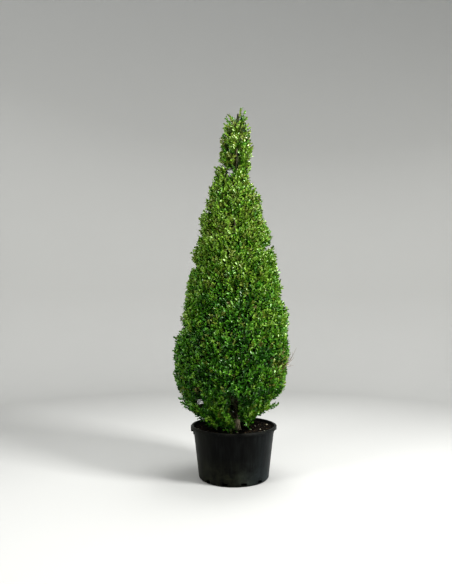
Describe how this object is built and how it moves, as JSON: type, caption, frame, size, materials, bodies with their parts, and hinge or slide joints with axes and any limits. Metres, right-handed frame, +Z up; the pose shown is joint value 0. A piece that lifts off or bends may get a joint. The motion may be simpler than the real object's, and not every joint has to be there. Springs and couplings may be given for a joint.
{
  "type": "potted cone-clipped small-leaved tree",
  "caption": "Tall tree with small leaves, clipped to a narrow cone from the ground up, on a straight trunk in a round black nursery tub.",
  "frame": {"origin": "centre of the tub's flat underside, on the surface that it stands on", "axes": "+Z up the trunk; the picture's camera looks along +Y, with +X to its right"},
  "size_m": [1.3082, 1.2411, 4.1188],
  "materials": {
    "tub": "satin",
    "soil": "matte",
    "bark": "matte",
    "leaves": "satin"
  },
  "bodies": {
    "root": {"pot": "tub", "soil": "soil", "trunk": "bark", "bough_tier1_a": "bark", "bough_tier1_b": "bark", "bough_tier1_c": "bark", "bough_tier1_d": "bark", "bough_tier1_e": "bark", "bough_tier2_a": "bark", "bough_tier2_b": "bark", "bough_tier2_c": "bark", "bough_tier2_d": "bark", "bough_tier2_e": "bark", "bough_tier3_a": "bark", "bough_tier3_b": "bark", "bough_tier3_c": "bark", "bough_tier3_d": "bark", "bough_tier4_a": "bark", "bough_tier4_b": "bark", "bough_tier4_c": "bark", "bough_tier4_d": "bark", "bough_tier5_a": "bark", "bough_tier5_b": "bark", "bough_tier5_c": "bark", "foliage_tier1_a": "leaves", "foliage_tier1_b": "leaves", "foliage_tier1_c": "leaves", "foliage_tier1_d": "leaves", "foliage_tier1_e": "leaves", "foliage_tier2_a": "leaves", "foliage_tier2_b": "leaves", "foliage_tier2_c": "leaves", "foliage_tier2_d": "leaves", "foliage_tier2_e": "leaves", "foliage_tier3_a": "leaves", "foliage_tier3_b": "leaves", "foliage_tier3_c": "leaves", "foliage_tier3_d": "leaves", "foliage_tier4_a": "leaves", "foliage_tier4_b": "leaves", "foliage_tier4_c": "leaves", "foliage_tier4_d": "leaves", "foliage_tier5_a": "leaves", "foliage_tier5_b": "leaves", "foliage_tier5_c": "leaves", "foliage_tier6_a": "leaves", "foliage_tier6_b": "leaves", "foliage_tier6_c": "leaves", "foliage_tier7_a": "leaves", "foliage_tier7_b": "leaves", "foliage_tier8_a": "leaves", "foliage_tier8_b": "leaves"}
  },
  "joints": []
}
